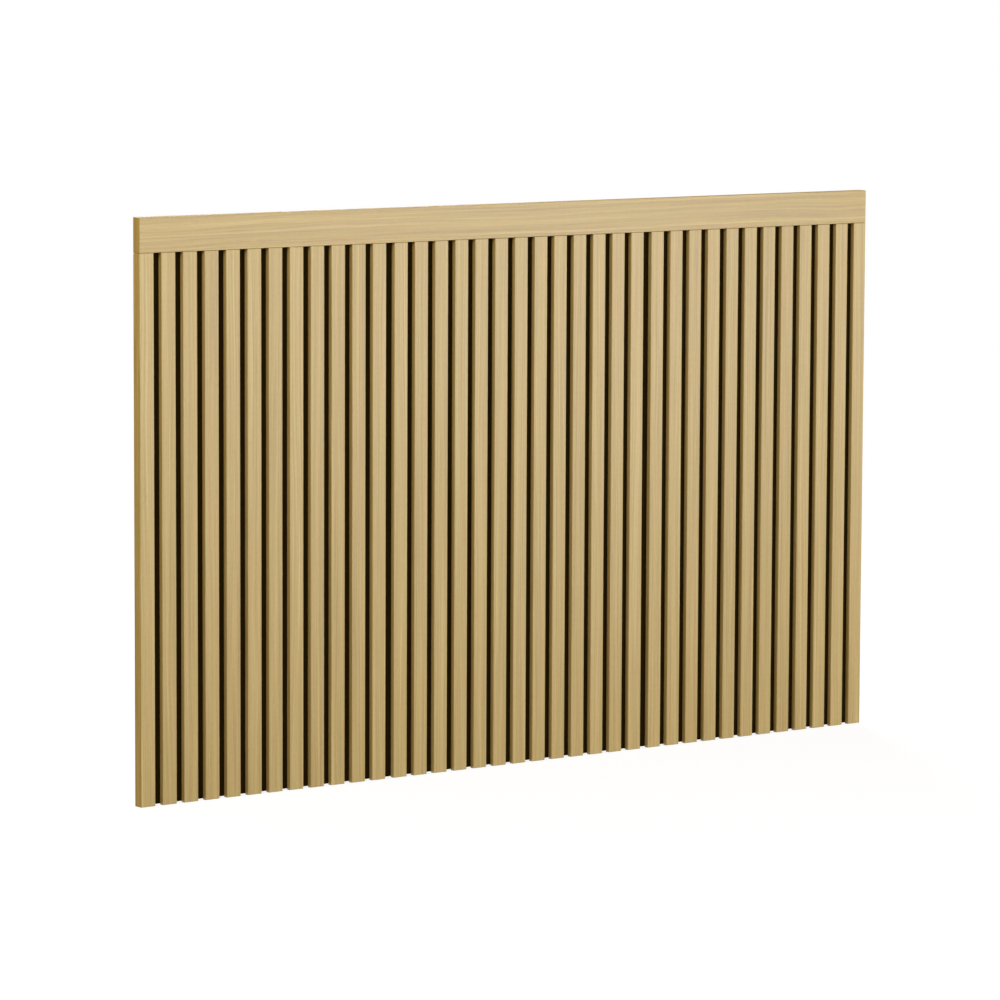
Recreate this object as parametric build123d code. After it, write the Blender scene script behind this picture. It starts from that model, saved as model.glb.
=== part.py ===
from build123d import *
import os

# Slatted headboard panel. X runs along its width, Y from its front at -Y to the wall at +Y,
# Z up. The origin is at the middle of its underside. All lengths are in millimetres.

# Whole panel
overall_width = 1600.0
overall_height = 1000.0

# Slats, in three panels that stand side by side
panel_slat_counts = (12, 13, 12)
slat_width = 28.0
slat_thickness = 9.0
panel_joint_widening = 2.5
edge_arris = 0.5

# Top rail
rail_height = 60.0
rail_rebate_height = 20.0
rail_joint_gap = 0.3

# End slats, as deep as the rail
end_rebate_width = 12.0

# Backing boards, one behind each panel
board_thickness = 9.0
board_inset = 2.0
board_edge_clearance = 0.5
board_lift = 2.0
board_joint_gap = 0.5

# Loose tongues in grooves along the edges where two boards meet
tongue_width = 16.0
tongue_thickness = 3.0
tongue_end_margin = 8.0
tongue_fit = 0.1
groove_end_clearance = 0.5

# Dowels between the rail and the end slats
dowel_diameter = 8.0
dowel_length = 50.0
dowel_end_clearance = 1.0
dowel_fit = 0.1

# Countersunk screws
screw_head_diameter = 7.0
screw_head_height = 2.0
screw_shank_diameter = 3.5
screw_fit = 0.1
board_screw_length = 15.0
rail_screw_count_per_board = 2
end_slat_screw_count = 2
board_screw_end_margin = 100.0
hanger_screw_length = 12.0

# Keyhole hanger plates in the back of the rail
hanger_spacing = 1000.0
hanger_count = 2
hanger_length = 52.0
hanger_width = 22.0
hanger_thickness = 2.0
hanger_fit = 0.3
hanger_screw_spacing = 38.0
keyhole_entry_diameter = 10.0
keyhole_slot_width = 5.0
keyhole_rise = 8.0
screw_head_space_depth = 6.0
screw_head_space_margin = 1.0

# Planes and places that follow from the sizes above
overall_depth = slat_thickness + board_thickness + board_inset
front_y = -overall_depth / 2
slat_back_y = front_y + slat_thickness
board_back_y = slat_back_y + board_thickness
back_y = overall_depth / 2
left_x = -overall_width / 2
rail_bottom_z = overall_height - rail_height
slat_top_z = rail_bottom_z - rail_joint_gap
rebate_top_z = rail_bottom_z + rail_rebate_height
board_top_z = rebate_top_z - board_edge_clearance
slat_count = sum(panel_slat_counts)
panel_joint_count = len(panel_slat_counts) - 1
slats_total_width = slat_count * slat_width
gap_width = (overall_width - slats_total_width - panel_joint_count * panel_joint_widening) / (slat_count - 1)
rebate_wall_x = left_x + slat_width - end_rebate_width
hanger_z = (rebate_top_z + overall_height) / 2


def block(low, high):
    """Box between its lowest and its highest corner."""
    size = [high[axis] - low[axis] for axis in range(len(low))]
    return Pos(*low) * Box(*size, align=(Align.MIN, Align.MIN, Align.MIN))


def front_face_edges(piece):
    """Edges round the piece's foremost face."""
    return piece.faces().sort_by(Axis.Y)[0].edges()


def turned(profile):
    """Solid turned about the Y axis from points of radius and place on the axis."""
    return revolve(make_face(Polyline(*profile, close=True)), Axis.Y)


def countersunk(length, fit):
    """Countersunk screw that points to -Y from its flat head, or its hole where fit is not zero."""
    head = screw_head_diameter / 2 + fit
    shank = screw_shank_diameter / 2 + fit
    foot = -length - fit
    return turned([(0, 0), (head, 0), (shank, -screw_head_height), (shank, foot), (0, foot)])


def forward(outline, depth):
    """Solid of an outline drawn in X and Z, from y = 0 forward to the depth."""
    return extrude(Rot(X=90) * outline, amount=depth, dir=(0, -1, 0))


def write(name, solids):
    """Writes the solids of one node."""
    node = solids[0] if len(solids) == 1 else Compound(children=solids)
    export_step(node, os.path.join("parts", name + ".step"))


def slat_places():
    """Left edges of all slats, and the middles of the gaps where two panels meet."""
    edges, joints, edge = [], [], left_x
    for count in panel_slat_counts:
        for _ in range(count):
            edges.append(edge)
            edge += slat_width + gap_width
        joints.append(edge - (gap_width - panel_joint_widening) / 2)
        edge += panel_joint_widening
    return edges, joints[:-1]


def evenly(low, high, count):
    """Places from low to high, evenly spaced, or the middle for a single one."""
    if count == 1:
        return [(low + high) / 2]
    step = (high - low) / (count - 1)
    return [low + index * step for index in range(count)]


slat_edges, joint_places = slat_places()
board_lefts = [rebate_wall_x + board_edge_clearance] + [x + board_joint_gap / 2 for x in joint_places]
board_rights = [x - board_joint_gap / 2 for x in joint_places] + [-rebate_wall_x - board_edge_clearance]

# Places of the fasteners, all as (x, z)
rail_screw_z = rail_bottom_z + rail_rebate_height / 2
rail_screw_places = []
for board_left, board_right in zip(board_lefts, board_rights):
    low, high = board_left + board_screw_end_margin, board_right - board_screw_end_margin
    rail_screw_places += [(x, rail_screw_z) for x in evenly(low, high, rail_screw_count_per_board)]

end_screw_x = left_x + slat_width - (end_rebate_width - board_edge_clearance) / 2
end_screw_low, end_screw_high = board_lift + board_screw_end_margin, rail_bottom_z - board_screw_end_margin
end_screw_heights = evenly(end_screw_low, end_screw_high, end_slat_screw_count)
end_screw_places = [(side * end_screw_x, z) for side in (1, -1) for z in end_screw_heights]

hanger_span = hanger_spacing * (hanger_count - 1)
hanger_places = [(x, hanger_z) for x in evenly(-hanger_span / 2, hanger_span / 2, hanger_count)]
hanger_screw_places = [(x + side * hanger_screw_spacing / 2, z) for x, z in hanger_places for side in (-1, 1)]

dowel_x = left_x + (slat_width - end_rebate_width) / 2
dowel_bottom_z = rail_bottom_z - dowel_length / 2


def inner_slat(edge):
    """Slat glued to the front of a board, its front edges eased."""
    slat = block((edge, front_y, 0), (edge + slat_width, slat_back_y, slat_top_z))
    return chamfer(front_face_edges(slat), edge_arris)


def end_slat(side):
    """Left (side = 1) or right (side = -1) end slat, rebated behind for the edge of the board."""
    slat = block((left_x, front_y, 0), (left_x + slat_width, back_y, slat_top_z))
    outer = slat.edges().filter_by(Axis.Z).group_by(Axis.X)[0]
    slat = chamfer(front_face_edges(slat) + outer.sort_by(Axis.Y)[-1:], edge_arris)
    slat -= block((rebate_wall_x, slat_back_y, 0), (left_x + slat_width, back_y, slat_top_z))
    slat -= dowel_hole()
    slat -= screw_holes([(end_screw_x, z) for z in end_screw_heights], board_back_y, board_screw_length)
    return slat if side == 1 else mirror(slat, Plane.YZ)


def upright_peg(radius, low, height):
    """Round peg on the dowel's axis on the left side."""
    return Pos(dowel_x, 0, low) * Cylinder(radius, height, align=(Align.CENTER, Align.CENTER, Align.MIN))


def dowel_hole():
    """Hole for the dowel on the left side, through the joint under the rail."""
    low = dowel_bottom_z - dowel_end_clearance
    return upright_peg(dowel_diameter / 2 + dowel_fit, low, dowel_length + 2 * dowel_end_clearance)


def dowel():
    """Dowel on the left side."""
    return upright_peg(dowel_diameter / 2, dowel_bottom_z, dowel_length)


def screw_holes(places, head_y, length):
    """Countersunk holes at the places, with the screws' heads at head_y."""
    return [Pos(x, head_y, z) * countersunk(length, screw_fit) for x, z in places]


def screws(places, head_y, length):
    """Screws at the places, with their heads at head_y."""
    return [Pos(x, head_y, z) * countersunk(length, 0) for x, z in places]


def top_rail():
    """Rail with a stopped rebate for the boards, and pockets for the hangers."""
    rail = block((left_x, front_y, rail_bottom_z), (-left_x, back_y, overall_height))
    rail = chamfer(rail.edges(), edge_arris)
    rail -= block((rebate_wall_x, slat_back_y, rail_bottom_z), (-rebate_wall_x, back_y, rebate_top_z))
    rail -= [dowel_hole(), mirror(dowel_hole(), Plane.YZ)]
    rail -= screw_holes(rail_screw_places, board_back_y, board_screw_length)
    rail -= [Pos(x, back_y, z) * hanger_pocket() for x, z in hanger_places]
    return rail - screw_holes(hanger_screw_places, back_y, hanger_screw_length)


def hanger_pocket():
    """Seat for a hanger plate, and behind its keyhole the space where the wall screw's head moves."""
    seat = SlotOverall(hanger_length + 2 * hanger_fit, hanger_width + 2 * hanger_fit)
    space = Rot(Z=90) * SlotCenterToCenter(keyhole_rise, keyhole_entry_diameter + 2 * screw_head_space_margin)
    return forward(seat, hanger_thickness) + Pos(0, -hanger_thickness, 0) * forward(space, screw_head_space_depth)


def hanger_plate():
    """Plate with two countersunk holes and a keyhole whose narrow end is up."""
    outline = SlotOverall(hanger_length, hanger_width)
    outline -= Pos(0, -keyhole_rise / 2) * Circle(keyhole_entry_diameter / 2)
    outline -= Rot(Z=90) * SlotCenterToCenter(keyhole_rise, keyhole_slot_width)
    screw_places = [(side * hanger_screw_spacing / 2, 0) for side in (-1, 1)]
    return forward(outline, hanger_thickness) - screw_holes(screw_places, 0, hanger_screw_length)


def backing_board(board_left, board_right):
    """Board behind one panel, its top edge in the rail's rebate."""
    board = block((board_left, slat_back_y, board_lift), (board_right, board_back_y, board_top_z))
    board -= [groove(x) for x in joint_places]
    places = rail_screw_places + end_screw_places
    inside = [(x, z) for x, z in places if board_left < x < board_right]
    return board - screw_holes(inside, board_back_y, board_screw_length)


def tongue_block(joint, side_room, end_room):
    """Upright strip centred on a joint between two boards, halfway through their thickness."""
    half_width = tongue_width / 2 + end_room
    half_thickness = tongue_thickness / 2 + side_room
    middle_y = (slat_back_y + board_back_y) / 2
    low_z, high_z = board_lift + tongue_end_margin - end_room, board_top_z - tongue_end_margin + end_room
    return block((joint - half_width, middle_y - half_thickness, low_z),
                 (joint + half_width, middle_y + half_thickness, high_z))


def groove(joint):
    """Cutter for the grooves of both boards at a joint, stopped at both ends."""
    return tongue_block(joint, tongue_fit, groove_end_clearance)


os.makedirs("parts", exist_ok=True)

write("top_rail", [top_rail()])
write("left_end_slat", [end_slat(1)])
write("right_end_slat", [end_slat(-1)])
for index, slat_edge in enumerate(slat_edges[1:-1], start=2):
    write(f"slat_{index:02d}", [inner_slat(slat_edge)])

for name, board_left, board_right in zip(("left", "middle", "right"), board_lefts, board_rights):
    write(name + "_backing_board", [backing_board(board_left, board_right)])

write("rail_dowels", [dowel(), mirror(dowel(), Plane.YZ)])
write("rail_screws", screws(rail_screw_places, board_back_y, board_screw_length))
write("end_slat_screws", screws(end_screw_places, board_back_y, board_screw_length))

for name, joint in zip(("left", "right"), joint_places):
    write(name + "_board_tongue", [tongue_block(joint, 0, 0)])

write("hanger_plates", [Pos(x, back_y, z) * hanger_plate() for x, z in hanger_places])
write("hanger_screws", screws(hanger_screw_places, back_y, hanger_screw_length))
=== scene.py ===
import math

import bmesh
import bpy
from mathutils import Matrix, Vector


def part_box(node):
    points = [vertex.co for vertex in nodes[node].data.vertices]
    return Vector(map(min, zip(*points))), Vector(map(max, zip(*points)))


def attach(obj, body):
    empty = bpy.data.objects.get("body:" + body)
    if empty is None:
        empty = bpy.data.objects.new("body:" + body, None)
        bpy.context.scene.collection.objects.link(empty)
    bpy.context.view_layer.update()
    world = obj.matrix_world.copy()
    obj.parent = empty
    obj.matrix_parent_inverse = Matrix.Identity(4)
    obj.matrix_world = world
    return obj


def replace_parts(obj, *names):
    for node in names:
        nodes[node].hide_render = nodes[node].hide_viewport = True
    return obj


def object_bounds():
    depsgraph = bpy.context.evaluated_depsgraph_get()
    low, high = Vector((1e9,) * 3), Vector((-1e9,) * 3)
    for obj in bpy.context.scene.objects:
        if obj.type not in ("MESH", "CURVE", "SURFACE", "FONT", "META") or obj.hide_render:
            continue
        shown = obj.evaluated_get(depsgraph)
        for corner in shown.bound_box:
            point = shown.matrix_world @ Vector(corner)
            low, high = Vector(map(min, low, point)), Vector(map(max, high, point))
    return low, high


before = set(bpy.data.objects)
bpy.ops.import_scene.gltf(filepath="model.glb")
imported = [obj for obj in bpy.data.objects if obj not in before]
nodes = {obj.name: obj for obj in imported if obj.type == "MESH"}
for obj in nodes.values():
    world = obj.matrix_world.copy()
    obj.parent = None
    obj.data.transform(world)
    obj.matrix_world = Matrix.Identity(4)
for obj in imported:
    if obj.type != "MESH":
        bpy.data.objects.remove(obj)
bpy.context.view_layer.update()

# Slats and boards, as they stand in the frame, in metres
low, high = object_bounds()
inner_slat_names = sorted(name for name in nodes if name.startswith("slat_"))
slat_names = ["left_end_slat"] + inner_slat_names + ["right_end_slat"]
board_names = ["left_backing_board", "middle_backing_board", "right_backing_board"]
slat_starts = [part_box(name)[0].x for name in slat_names]
slat_steps = [after - before for before, after in zip(slat_starts, slat_starts[1:])]
slat_pitch = min(slat_steps)
wide_pitch = max(slat_steps)
middle_pitch = (slat_pitch + wide_pitch) / 2
slat_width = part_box(slat_names[1])[1].x - slat_starts[1]
panel_starts = [start for start, step in zip(slat_starts[1:], slat_steps) if step > middle_pitch]

# Camera, at the photograph's viewing angle
camera_place = (-5.442, -7.240, 1.507)
camera_heading = math.radians(-36.74)
camera_pitch = math.radians(-6.52)
camera_roll = math.radians(0.25)
camera_lens = 184.6
camera_sensor = 36.0
camera_reach = 200.0

# Edges: the last rounding of the veneered pieces and of the plates
oak_easing = 0.00018
plate_easing = 0.00015
easing_segments = 2
sharp_angle = math.radians(30)

# Values between which nearly all of a noise lies
noise_low, noise_high = 0.3, 0.7

# Least share of a face's normal along an axis for the face to look along it
facing_share = 0.8

# Veneer's thickness, and the tints of the faces that look sideways, which are painted light: they
# lighten and tint the side faces to stand in for how the lamps fall on them
veneer_thickness = 0.0006
gap_side_painted_light = (1.04, 1.03, 1.11, 1.0)
outer_side_painted_light = (1.16, 1.10, 1.04, 1.0)

# Lacquer's gloss on the fronts, on the outer side faces and on the rail's top
face_gloss = 0.7
outer_gloss = 0.0
top_gloss = 0.002
smoothest_lacquer, roughest_lacquer = 0.34, 0.42

# Figure of the veneer, as cells a metre across the grain and along it
sway_cells = (13.0, 1.4)
ripple_cells = (40.0, 7.0)
band_cells = (75.0, 0.8)
line_cells = (290.0, 2.4)
fibre_cells = (1300.0, 14.0)
pore_cells = (2300.0, 100.0)
fleck_cells = (330.0, 75.0)
streak_cells = (170.0, 1.1)
hue_cells = (150.0, 9.0)

# Growth rings: their count a metre, how many rings the bands shift them by, and their sharpness
rings_per_metre = 380.0
ring_shift = 3.0
ring_sharpness = 5.0

# How far, in metres, the grain wanders across its run
sway_reach = 0.022
ripple_reach = 0.0035

# How much each part of the figure lightens the veneer, or darkens it below zero
base_tone = 0.53
band_weight = 0.42
line_weight = 1.45
fibre_weight = 0.5
tone_luck_weight = 0.14
ring_weight = -0.16
fleck_weight = 0.10
streak_weight = 0.22
pore_darkness = 0.36

# How high fibres and pores stand in the veneer's relief
fibre_relief = 0.35
pore_relief = -1.0

# Figure of the slats and of the rail: how fine it is, and its contrast
slat_fineness, slat_contrast = 1.0, 1.1
rail_fineness, rail_contrast = 0.9, 1.3

# Chance of each slat's veneer: its seed, how far it moves the figure, in metres, and its hue
slat_seed = 3.0
across_chance, along_chance = 7.0, 11.0
hue_chance_stride = 37.0
hue_luck_weight = 0.06

# Rail's veneer: how far its figure is moved, in metres, and its own tone and hue
rail_across_shift, rail_along_shift = 3.7, 2.0
rail_tone_luck, rail_hue_luck = 0.25, 0.5


class Tree:
    """A node tree with short calls for the nodes that the finishes use."""

    def __init__(self, tree):
        self.tree = tree

    def add(self, kind, inputs=(), **settings):
        """Adds a node; inputs are pairs of a socket's name or index and a value or an output."""
        node = self.tree.nodes.new(kind)
        for name, value in settings.items():
            setattr(node, name, value)
        for key, value in inputs:
            if isinstance(value, bpy.types.NodeSocket):
                self.tree.links.new(value, node.inputs[key])
            else:
                node.inputs[key].default_value = value
        return node

    def link(self, output, socket):
        """Links an output to a socket."""
        self.tree.links.new(output, socket)

    def calc(self, operation, first, second=0.0):
        """Output of a maths node."""
        return self.add("ShaderNodeMath", [(0, first), (1, second)], operation=operation).outputs[0]

    def plus(self, *terms):
        """Sum of the terms."""
        total = terms[0]
        for term in terms[1:]:
            total = self.calc("ADD", total, term)
        return total

    def times(self, first, second):
        """Product of two numbers."""
        return self.calc("MULTIPLY", first, second)

    def swing(self, value, weight):
        """The value's distance from a half, times a weight."""
        return self.times(self.plus(value, -0.5), weight)

    def over(self, value, limit):
        """1 where the value is over the limit, or else 0."""
        return self.calc("GREATER_THAN", value, limit)

    def pick(self, choice, first, second):
        """First number where the choice is 0, second where it is 1."""
        rest = self.calc("SUBTRACT", 1.0, choice)
        return self.plus(self.times(first, rest), self.times(second, choice))

    def blend(self, factor, first, second, mode="MIX"):
        """Mix of two colours."""
        inputs = [(0, factor), (6, first), (7, second)]
        return self.add("ShaderNodeMix", inputs, data_type="RGBA", blend_type=mode).outputs[2]

    def tinted(self, colour, tint):
        """The colour times a tint."""
        return self.blend(1.0, colour, tint, "MULTIPLY")

    def spread(self, value, start, end, bottom=0.0, top=1.0):
        """The value's range from start to end, clamped and drawn out from bottom to top."""
        inputs = [("Value", value), ("From Min", start), ("From Max", end)]
        inputs += [("To Min", bottom), ("To Max", top)]
        return self.add("ShaderNodeMapRange", inputs, clamp=True).outputs["Result"]

    def noise(self, places, counts, detail, roughness=0.5):
        """Noise from 0 to 1 over three places, each with its own count of cells a metre."""
        pairs = zip(places, counts)
        scaled = [(axis, self.times(place, count)) for axis, (place, count) in enumerate(pairs)]
        vector = self.add("ShaderNodeCombineXYZ", scaled).outputs[0]
        inputs = [("Vector", vector), ("Scale", 1.0), ("Detail", detail), ("Roughness", roughness)]
        return self.add("ShaderNodeTexNoise", inputs).outputs["Fac"]

    def even_noise(self, places, count, detail):
        """Noise with the same count of cells a metre in every direction."""
        return self.noise(places, (count, count, count), detail)

    def grain_noise(self, grain, cells, detail, roughness=0.5, fineness=1.0):
        """Noise drawn out along the grain; cells are its counts across the grain and along it."""
        across = cells[0] * fineness
        return self.noise(grain, (across, across, cells[1]), detail, roughness)

    def chance(self, seed):
        """Three chance numbers from 0 to 1 for a whole number."""
        noise = self.add("ShaderNodeTexWhiteNoise", [("W", seed)], noise_dimensions="1D")
        return self.add("ShaderNodeSeparateColor", [(0, noise.outputs["Color"])]).outputs

    def place(self):
        """Place on the object as x, y and z, in metres."""
        coordinates = self.add("ShaderNodeTexCoord").outputs["Object"]
        return self.add("ShaderNodeSeparateXYZ", [(0, coordinates)]).outputs

    def faces(self, axis):
        """1 on faces that look along the axis, 0 on the others."""
        normal = self.add("ShaderNodeTexCoord").outputs["Normal"]
        share = self.add("ShaderNodeSeparateXYZ", [(0, normal)]).outputs[axis]
        return self.over(self.calc("ABSOLUTE", share), facing_share)

    def ramp(self, value, stops):
        """Colour ramp; stops are pairs of a place from 0 to 1 and a colour."""
        node = self.add("ShaderNodeValToRGB", [(0, value)])
        elements = node.color_ramp.elements
        while len(elements) < len(stops):
            elements.new(0.5)
        for element, (position, colour) in zip(elements, stops):
            element.position = position
            element.color = colour
        return node.outputs["Color"]

    def bump(self, shader, height, strength, distance):
        """Gives the shader a relief; distance is its depth in metres."""
        inputs = [("Strength", strength), ("Distance", distance), ("Height", height)]
        self.link(self.add("ShaderNodeBump", inputs).outputs[0], shader.inputs["Normal"])


def linear(red, green, blue):
    """Linear colour of an 8-bit display colour."""
    def channel(value):
        share = value / 255
        return share / 12.92 if share <= 0.04045 else ((share + 0.055) / 1.055) ** 2.4
    return (channel(red), channel(green), channel(blue), 1.0)


def new_material(name):
    """A new material, its tree and its shader."""
    material = bpy.data.materials.new(name)
    material.use_nodes = True
    return material, Tree(material.node_tree), material.node_tree.nodes["Principled BSDF"]


def oak_surface(tree, shader, across, depth, along, fineness, contrast, tone_luck, hue_luck):
    """Colour of lacquered oak veneer, whose roughness and pores it gives to the shader.

    The lucks are chance numbers of the piece of veneer, one for its tone and one for its hue.
    """
    sway = tree.grain_noise((across, depth, along), sway_cells, detail=2.0)
    ripple = tree.grain_noise((across, depth, along), ripple_cells, detail=2.0)
    across = tree.plus(across, tree.times(sway, sway_reach), tree.times(ripple, ripple_reach))
    grain = (across, depth, along)
    bands = tree.grain_noise(grain, band_cells, detail=2.0, fineness=fineness)
    lines = tree.grain_noise(grain, line_cells, detail=3.0, roughness=0.62, fineness=fineness)
    fibres = tree.grain_noise(grain, fibre_cells, detail=2.0)
    pores = tree.grain_noise(grain, pore_cells, detail=1.0)
    flecks = tree.grain_noise(grain, fleck_cells, detail=1.0)
    streaks = tree.grain_noise(grain, streak_cells, detail=1.0, fineness=fineness)
    rings = tree.times(tree.plus(across, depth), rings_per_metre * fineness)
    ring = tree.calc("FRACT", tree.plus(rings, tree.times(bands, ring_shift)))
    pore_places = tree.spread(pores, start=0.58, end=0.68)
    pore_marks = tree.times(pore_places, tree.spread(ring, start=0.25, end=0.9, bottom=0.25))

    tone = tree.plus(
        tree.swing(bands, band_weight),
        tree.swing(lines, line_weight),
        tree.swing(fibres, fibre_weight),
        tree.swing(tone_luck, tone_luck_weight),
        tree.times(tree.calc("POWER", ring, ring_sharpness), ring_weight),
        tree.spread(flecks, start=0.62, end=0.74, top=fleck_weight),
        tree.spread(streaks, start=0.60, end=0.72, top=streak_weight),
    )
    tone = tree.plus(base_tone, tree.times(tone, contrast))
    stops = [
        (0.0, linear(166, 133, 72)),
        (0.34, linear(183, 153, 82)),
        (0.62, linear(195, 165, 95)),
        (1.0, linear(209, 183, 116)),
    ]
    colour = tree.ramp(tone, stops)

    hue_noise = tree.grain_noise(grain, hue_cells, detail=2.0)
    hue = tree.plus(hue_noise, tree.swing(hue_luck, hue_luck_weight))
    pinker = tree.tinted(colour, (1.015, 0.985, 1.0, 1.0))
    colour = tree.blend(tree.spread(hue, start=0.50, end=0.63), colour, pinker)
    greener = tree.tinted(colour, (0.99, 1.0, 0.955, 1.0))
    colour = tree.blend(tree.spread(hue, start=0.50, end=0.37), colour, greener)
    colour = tree.blend(tree.times(pore_marks, pore_darkness), colour, linear(129, 93, 44))

    roughness = tree.spread(lines, noise_low, noise_high, smoothest_lacquer, roughest_lacquer)
    tree.link(roughness, shader.inputs["Roughness"])
    relief = tree.plus(tree.times(fibres, fibre_relief), tree.times(pore_marks, pore_relief))
    tree.bump(shader, relief, strength=0.3, distance=0.00012)
    return colour


def upright_oak():
    """Veneered slats: each slat has its own piece of veneer, and fibreboard at its sawn ends."""
    material, tree, shader = new_material("oak_veneer_upright")
    x, y, z = tree.place()

    # The slat's number and the place across it, with the wider gaps between panels taken out
    even_x = x
    for start in panel_starts:
        joint = start - (wide_pitch - slat_width) / 2
        even_x = tree.plus(even_x, tree.times(tree.over(x, joint), slat_pitch - wide_pitch))
    shifted = tree.plus(even_x, (slat_pitch - slat_width) / 2 - low.x)
    index = tree.calc("FLOOR", tree.calc("DIVIDE", shifted, slat_pitch))
    inside = tree.plus(even_x, -low.x, tree.times(index, -slat_pitch))

    luck = tree.chance(tree.plus(index, slat_seed))
    across = tree.plus(x, tree.times(luck[0], across_chance))
    along = tree.plus(z, tree.times(luck[1], along_chance))
    tone_luck = luck[2]
    hue_luck = tree.calc("FRACT", tree.times(luck[1], hue_chance_stride))
    figure = (slat_fineness, slat_contrast, tone_luck, hue_luck)
    veneer = oak_surface(tree, shader, across, y, along, *figure)
    outer_place = tree.over(tree.calc("ABSOLUTE", x), high.x - veneer_thickness)
    outer = tree.times(tree.faces(0), outer_place)
    # Painted light: the side faces are lightened by a tint, the outer sides more than those in the
    # gaps
    side_painted_light = tree.blend(outer, gap_side_painted_light, outer_side_painted_light)
    veneer = tree.blend(tree.faces(0), veneer, tree.tinted(veneer, side_painted_light))
    tree.link(tree.pick(outer, face_gloss, outer_gloss), shader.inputs["Specular IOR Level"])

    from_side = tree.calc("MINIMUM", inside, tree.calc("SUBTRACT", slat_width, inside))
    from_skin = tree.calc("MINIMUM", from_side, tree.plus(y, -low.y))
    core = tree.times(tree.faces(2), tree.over(from_skin, veneer_thickness))
    fibres = tree.spread(tree.even_noise((x, y, z), 1500.0, detail=3.0), noise_low, noise_high)
    fibreboard = tree.blend(fibres, linear(147, 114, 74), linear(181, 147, 103))
    tree.link(tree.blend(core, veneer, fibreboard), shader.inputs["Base Color"])
    return material


def level_oak():
    """Veneered rail: the grain runs along it, and upright on its end faces."""
    material, tree, shader = new_material("oak_veneer_level")
    x, y, z = tree.place()
    ends = tree.faces(0)
    across = tree.plus(tree.pick(ends, z, y), rail_across_shift)
    depth = tree.pick(ends, y, x)
    along = tree.plus(tree.pick(ends, x, z), rail_along_shift)
    figure = (rail_fineness, rail_contrast, rail_tone_luck, rail_hue_luck)
    veneer = oak_surface(tree, shader, across, depth, along, *figure)
    # Painted light: the end faces take the outer sides' lightening tint
    veneer = tree.blend(ends, veneer, tree.tinted(veneer, outer_side_painted_light))
    gloss = tree.pick(ends, tree.pick(tree.faces(2), face_gloss, top_gloss), outer_gloss)
    tree.link(gloss, shader.inputs["Specular IOR Level"])
    tree.link(veneer, shader.inputs["Base Color"])
    return material


def black_fibreboard():
    """Black-dyed fibreboard, matt, with a faint fibre texture."""
    material, tree, shader = new_material("black_fibreboard")
    place = tree.place()
    fibres = tree.even_noise(place, 900.0, detail=3.0)
    clouds = tree.even_noise(place, 14.0, detail=3.0)
    fibre_share = tree.spread(fibres, start=0.3, end=0.75)
    cloud_share = tree.spread(clouds, noise_low, noise_high, top=0.35)
    colour = tree.blend(fibre_share, linear(29, 20, 2), linear(46, 34, 4))
    colour = tree.blend(cloud_share, colour, linear(31, 21, 3))
    roughness = tree.spread(clouds, noise_low, noise_high, bottom=0.72, top=0.85)
    tree.link(colour, shader.inputs["Base Color"])
    tree.link(roughness, shader.inputs["Roughness"])
    shader.inputs["Specular IOR Level"].default_value = 0.03
    tree.bump(shader, fibres, strength=0.25, distance=0.0002)
    return material


def zinc(name, dark, pale):
    """Zinc-plated steel, drawn along X, with cloudy plating from dark to pale."""
    material, tree, shader = new_material(name)
    place = tree.place()
    lines = tree.noise(place, (60.0, 3000.0, 3000.0), detail=2.0)
    clouds = tree.even_noise(place, 160.0, detail=3.0)
    colour = tree.blend(tree.spread(clouds, start=0.35, end=0.7), dark, pale)
    roughness = tree.spread(lines, noise_low, noise_high, bottom=0.30, top=0.44)
    tree.link(colour, shader.inputs["Base Color"])
    tree.link(roughness, shader.inputs["Roughness"])
    shader.inputs["Metallic"].default_value = 1.0
    tree.bump(shader, lines, strength=0.1, distance=0.00003)
    return material


def pale_wood():
    """Bare beech of the hidden dowels and tongues."""
    material, tree, shader = new_material("pale_dowel_wood")
    place = tree.place()
    fibres = tree.grain_noise(place, (1400.0, 40.0), detail=2.0)
    rays = tree.grain_noise(place, (1800.0, 260.0), detail=1.0)
    fibre_share = tree.spread(fibres, noise_low, noise_high)
    ray_share = tree.spread(rays, start=0.6, end=0.7, top=0.5)
    colour = tree.blend(fibre_share, linear(196, 160, 116), linear(218, 188, 146))
    colour = tree.blend(ray_share, colour, linear(160, 118, 76))
    roughness = tree.spread(fibres, noise_low, noise_high, bottom=0.6, top=0.7)
    tree.link(colour, shader.inputs["Base Color"])
    tree.link(roughness, shader.inputs["Roughness"])
    tree.bump(shader, fibres, strength=0.2, distance=0.0001)
    return material


def paint(names, material):
    """Gives the nodes a material."""
    for name in names:
        piece = nodes[name]
        if not piece.material_slots:
            piece.data.materials.append(material)
        for slot in piece.material_slots:
            slot.material = material


def ease(names, width):
    """Rounds the sharp edges of nodes a little."""
    for name in names:
        bevel = nodes[name].modifiers.new("ease", "BEVEL")
        bevel.width = width
        bevel.segments = easing_segments
        bevel.limit_method = "ANGLE"
        bevel.angle_limit = sharp_angle


# Countersunk screws with a cross recess and a thread, in the places of the plain ones
screw_head_radius = 0.0035
screw_head_height = 0.0020
screw_rim_width = 0.00015
screw_rim_drop = 0.0001
screw_shank_radius = 0.00175
screw_core_radius = 0.00120
screw_neck_length = 0.0006
thread_pitch = 0.0014
thread_rings_per_pitch = 6
thread_ridge_steepness = 5.0
screw_tip_height = 0.0030
screw_tip_radius_share = 0.02
recess_half_length = 0.0019
recess_half_width = 0.00045
recess_depth = 0.0015
recess_middle_depth_share = 1.15
recess_taper_share = 0.55
recess_corner_angle = 0.02


def recess_radius(angle):
    """Distance from the middle to the outline of a cross in a direction."""
    tiny = 1e-9
    cosine = abs(math.cos(angle)) + tiny
    sine = abs(math.sin(angle)) + tiny
    level_arm = min(recess_half_length / cosine, recess_half_width / sine)
    upright_arm = min(recess_half_width / cosine, recess_half_length / sine)
    return max(level_arm, upright_arm)


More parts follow.
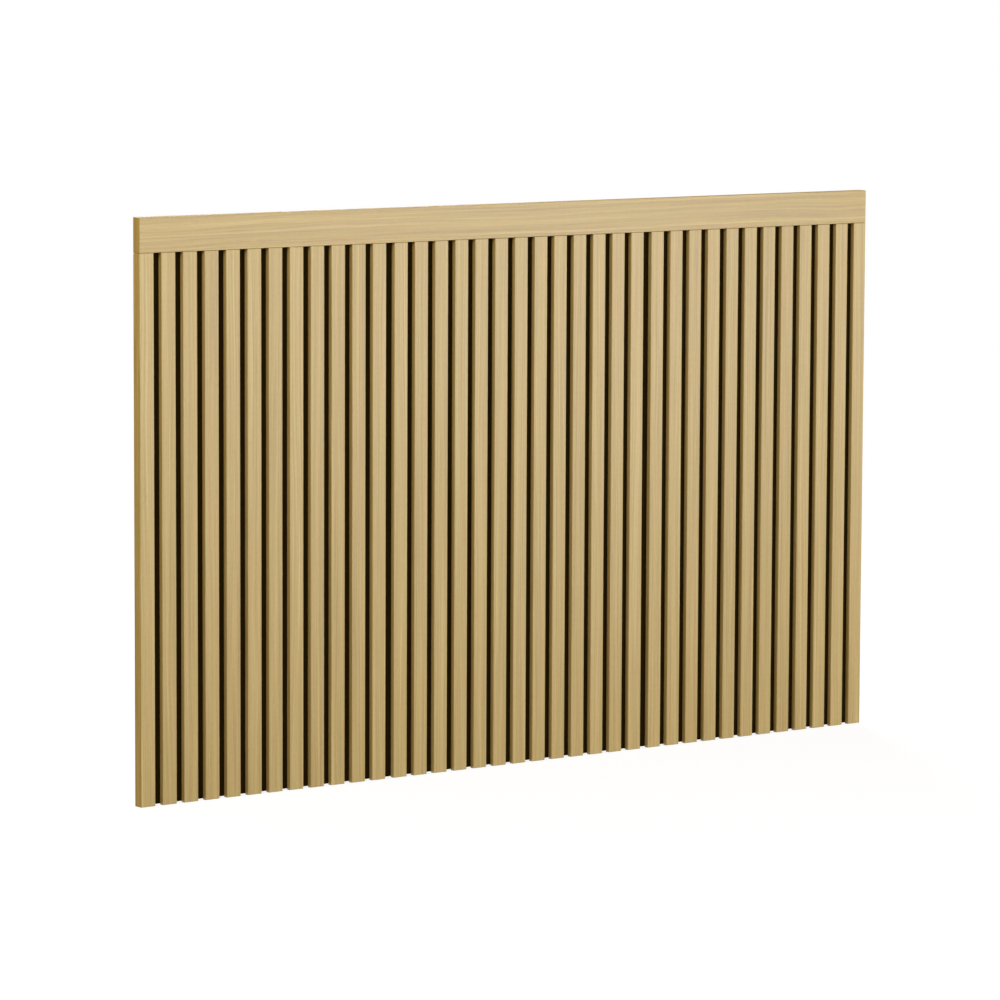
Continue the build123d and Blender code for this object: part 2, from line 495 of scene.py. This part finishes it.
def screw_angles():
    """Directions round a screw that include the corners of its recess."""
    arm = math.atan2(recess_half_width, recess_half_length)
    quarter = math.pi / 2
    angles = [0.0, arm, arm + recess_corner_angle, (arm + quarter / 2) / 2, quarter / 2]
    angles += [quarter - angle for angle in reversed(angles[1:-1])]
    return [turn * quarter + angle for turn in range(4) for angle in angles]


def add_screw(mesh, place, length):
    """Adds a screw whose head is flush at the place and whose tip points to -Y."""
    angles = screw_angles()

    def ring(radius_at, depth):
        points = []
        for angle in angles:
            radius = radius_at(angle)
            offset = Vector((radius * math.cos(angle), -depth, radius * math.sin(angle)))
            points.append(mesh.verts.new(place + offset))
        return points

    def bridge(first, second):
        for index in range(len(angles)):
            after = (index + 1) % len(angles)
            mesh.faces.new((first[index], first[after], second[after], second[index]))

    def thread_radius(angle, depth):
        phase = (depth / thread_pitch + angle / (2 * math.pi)) % 1.0
        ridge = max(0.0, 1.0 - abs(phase - 0.5) * thread_ridge_steepness)
        full = screw_core_radius + (screw_shank_radius - screw_core_radius) * ridge
        return full * min(1.0, (length - depth) / screw_tip_height + screw_tip_radius_share)

    bottom = ring(lambda angle: recess_radius(angle) * recess_taper_share, recess_depth)
    middle_depth = recess_depth * recess_middle_depth_share
    middle = mesh.verts.new(place + Vector((0, -middle_depth, 0)))
    for index in range(len(angles)):
        mesh.faces.new((middle, bottom[index], bottom[(index + 1) % len(angles)]))
    rings = [bottom, ring(recess_radius, 0.0)]
    rings.append(ring(lambda angle: screw_head_radius - screw_rim_width, 0.0))
    rings.append(ring(lambda angle: screw_head_radius, screw_rim_drop))
    rings.append(ring(lambda angle: screw_shank_radius, screw_head_height))
    depth = screw_head_height + screw_neck_length
    while depth < length:
        rings.append(ring(lambda angle: thread_radius(angle, depth), depth))
        depth += thread_pitch / thread_rings_per_pitch
    for first, second in zip(rings, rings[1:]):
        bridge(first, second)
    tip = mesh.verts.new(place + Vector((0, -length, 0)))
    for index in range(len(angles)):
        mesh.faces.new((rings[-1][index], rings[-1][(index + 1) % len(angles)], tip))


def add_piece(name, mesh, material):
    """Makes an object of a mesh, which rides on the root and takes its finish from a slot."""
    bmesh.ops.recalc_face_normals(mesh, faces=mesh.faces)
    data = bpy.data.meshes.new(name)
    mesh.to_mesh(data)
    mesh.free()
    data.materials.append(material)
    piece = bpy.data.objects.new(name, data)
    bpy.context.scene.collection.objects.link(piece)
    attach(piece, "root")
    return piece


def screw_set(name, node, places, material):
    """One piece that holds the screws of a node."""
    near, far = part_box(node)
    mesh = bmesh.new()
    for place in places:
        add_screw(mesh, place, far.y - near.y)
    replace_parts(add_piece(name, mesh, material), node)


def board_screw_places():
    """Places of the screws in the rail, two in each board, all as far from a board's edge."""
    near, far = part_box("rail_screws")
    level = (near.z + far.z) / 2
    margin = near.x + screw_head_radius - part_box(board_names[0])[0].x
    places = []
    for name in board_names:
        board_low, board_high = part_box(name)
        for x in (board_low.x + margin, board_high.x - margin):
            places.append(Vector((x, far.y, level)))
    return places


def corner_screw_places(node):
    """Places of four screws at the corners of a node's box."""
    near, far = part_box(node)
    out = far.x - screw_head_radius
    levels = (near.z + screw_head_radius, far.z - screw_head_radius)
    return [Vector((side * out, far.y, level)) for side in (-1, 1) for level in levels]


def hanger_screw_places(plate_length):
    """Places of the screws at both ends of each hanger plate."""
    plate_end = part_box("hanger_plates")[1].x
    near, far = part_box("hanger_screws")
    level = (near.z + far.z) / 2
    margin = plate_end - far.x + screw_head_radius
    outs = (plate_end - margin, plate_end - plate_length + margin)
    return [Vector((side * out, far.y, level)) for side in (-1, 1) for out in outs]


# Finishes
paint(slat_names, upright_oak())
paint(["top_rail"], level_oak())
paint(board_names, black_fibreboard())
paint(["rail_dowels", "left_board_tongue", "right_board_tongue"], pale_wood())
paint(["hanger_plates"], zinc("zinc_plate", dark=linear(150, 154, 158), pale=linear(190, 193, 195)))
ease(slat_names + ["top_rail"], oak_easing)
ease(["hanger_plates"], plate_easing)

# Screws, which hide the plain ones
screw_steel = zinc("zinc_screw", dark=linear(150, 152, 154), pale=linear(190, 192, 192))
screw_places = {
    "rail_screws": board_screw_places(),
    "end_slat_screws": corner_screw_places("end_slat_screws"),
    "hanger_screws": hanger_screw_places(plate_length=0.052),
}
paint(screw_places.keys(), screw_steel)
for node, places in screw_places.items():
    screw_set(node + "_threaded", node, places, screw_steel)

# Camera
camera = bpy.data.objects.new("camera", bpy.data.cameras.new("camera"))
bpy.context.scene.collection.objects.link(camera)
camera.data.lens = camera_lens
camera.data.sensor_width = camera_sensor
camera.data.clip_end = camera_reach
turn = Matrix.Rotation(camera_heading, 4, "Z") @ Matrix.Rotation(math.pi / 2 + camera_pitch, 4, "X")
roll = Matrix.Rotation(camera_roll, 4, "Z")
camera.matrix_world = Matrix.Translation(camera_place) @ turn @ roll
bpy.context.scene.camera = camera

# Floor and world: white to the camera and in reflections, a plain level on the object
floor_radius = 60.0
floor_gap = 0.0005
floor_glow = 0.84
floor_colour = (0.25, 0.25, 0.25, 1.0)
floor_shade_radius = 1.6
world_level = 0.30


def seen_directly(tree):
    """1 for the rays that show the background, 0 for those that light the object."""
    paths = tree.add("ShaderNodeLightPath").outputs
    total = tree.plus(paths["Is Camera Ray"], paths["Is Glossy Ray"], paths["Is Transmission Ray"])
    return tree.calc("MINIMUM", total, 1.0)


def pale_floor():
    """Floor that takes a faint shadow near the object and is plain white further away."""
    material, tree, shader = new_material("pale_floor")
    shader.inputs["Base Color"].default_value = floor_colour
    shader.inputs["Roughness"].default_value = 0.9
    shader.inputs["Specular IOR Level"].default_value = 0.0
    seen = seen_directly(tree)
    glow = tree.add("ShaderNodeEmission", [("Strength", tree.times(seen, floor_glow))])
    lit = tree.add("ShaderNodeAddShader", [(0, shader.outputs[0]), (1, glow.outputs[0])])
    white = tree.add("ShaderNodeEmission", [("Strength", 1.0)])
    place = tree.add("ShaderNodeTexCoord").outputs["Object"]
    length = tree.add("ShaderNodeVectorMath", [(0, place)], operation="LENGTH")
    radius = length.outputs["Value"]
    away = tree.times(seen, tree.spread(radius, floor_shade_radius, 2 * floor_shade_radius))
    shaders = [(0, away), (1, lit.outputs[0]), (2, white.outputs[0])]
    mixed = tree.add("ShaderNodeMixShader", shaders)
    surface = material.node_tree.nodes["Material Output"].inputs["Surface"]
    tree.link(mixed.outputs[0], surface)
    return material


floor_place = (0, 0, low.z - floor_gap)
bpy.ops.mesh.primitive_circle_add(
    vertices=96, radius=floor_radius, fill_type="NGON", location=floor_place)
floor = bpy.context.object
floor.name = "floor"
floor.data.materials.append(pale_floor())

world = bpy.data.worlds.new("studio")
bpy.context.scene.world = world
world.use_nodes = True
world_tree = Tree(world.node_tree)
background = world.node_tree.nodes["Background"]
background.inputs["Color"].default_value = (1, 1, 1, 1)
seen = seen_directly(world_tree)
strength = world_tree.spread(seen, start=0.0, end=1.0, bottom=world_level)
world_tree.link(strength, background.inputs["Strength"])


def softbox(name, place, aim, size, power):
    """Square area lamp that looks at a point."""
    lamp = bpy.data.lights.new(name, "AREA")
    lamp.shape = "SQUARE"
    lamp.size = size
    lamp.energy = power
    lamp_object = bpy.data.objects.new(name, lamp)
    lamp_object.location = place
    sight = Vector(aim) - Vector(place)
    lamp_object.rotation_euler = sight.to_track_quat("-Z", "Y").to_euler()
    bpy.context.scene.collection.objects.link(lamp_object)


# Lamps, in metres and watts
softbox("key", place=(2.6, -3.4, 0.9), aim=(0, 0, 0.6), size=2.0, power=63.0)
softbox("front", place=(0.1, -4.4, 0.45), aim=(0, 0, 0.2), size=2.4, power=61.0)
softbox("fill", place=(-2.6, -1.35, 2.45), aim=(-0.2, 0, 0.7), size=1.4, power=46.0)
softbox("rear", place=(1.5, 3.8, 2.6), aim=(0, 0, 0.5), size=2.6, power=160.0)

bpy.context.scene.view_settings.view_transform = "Standard"
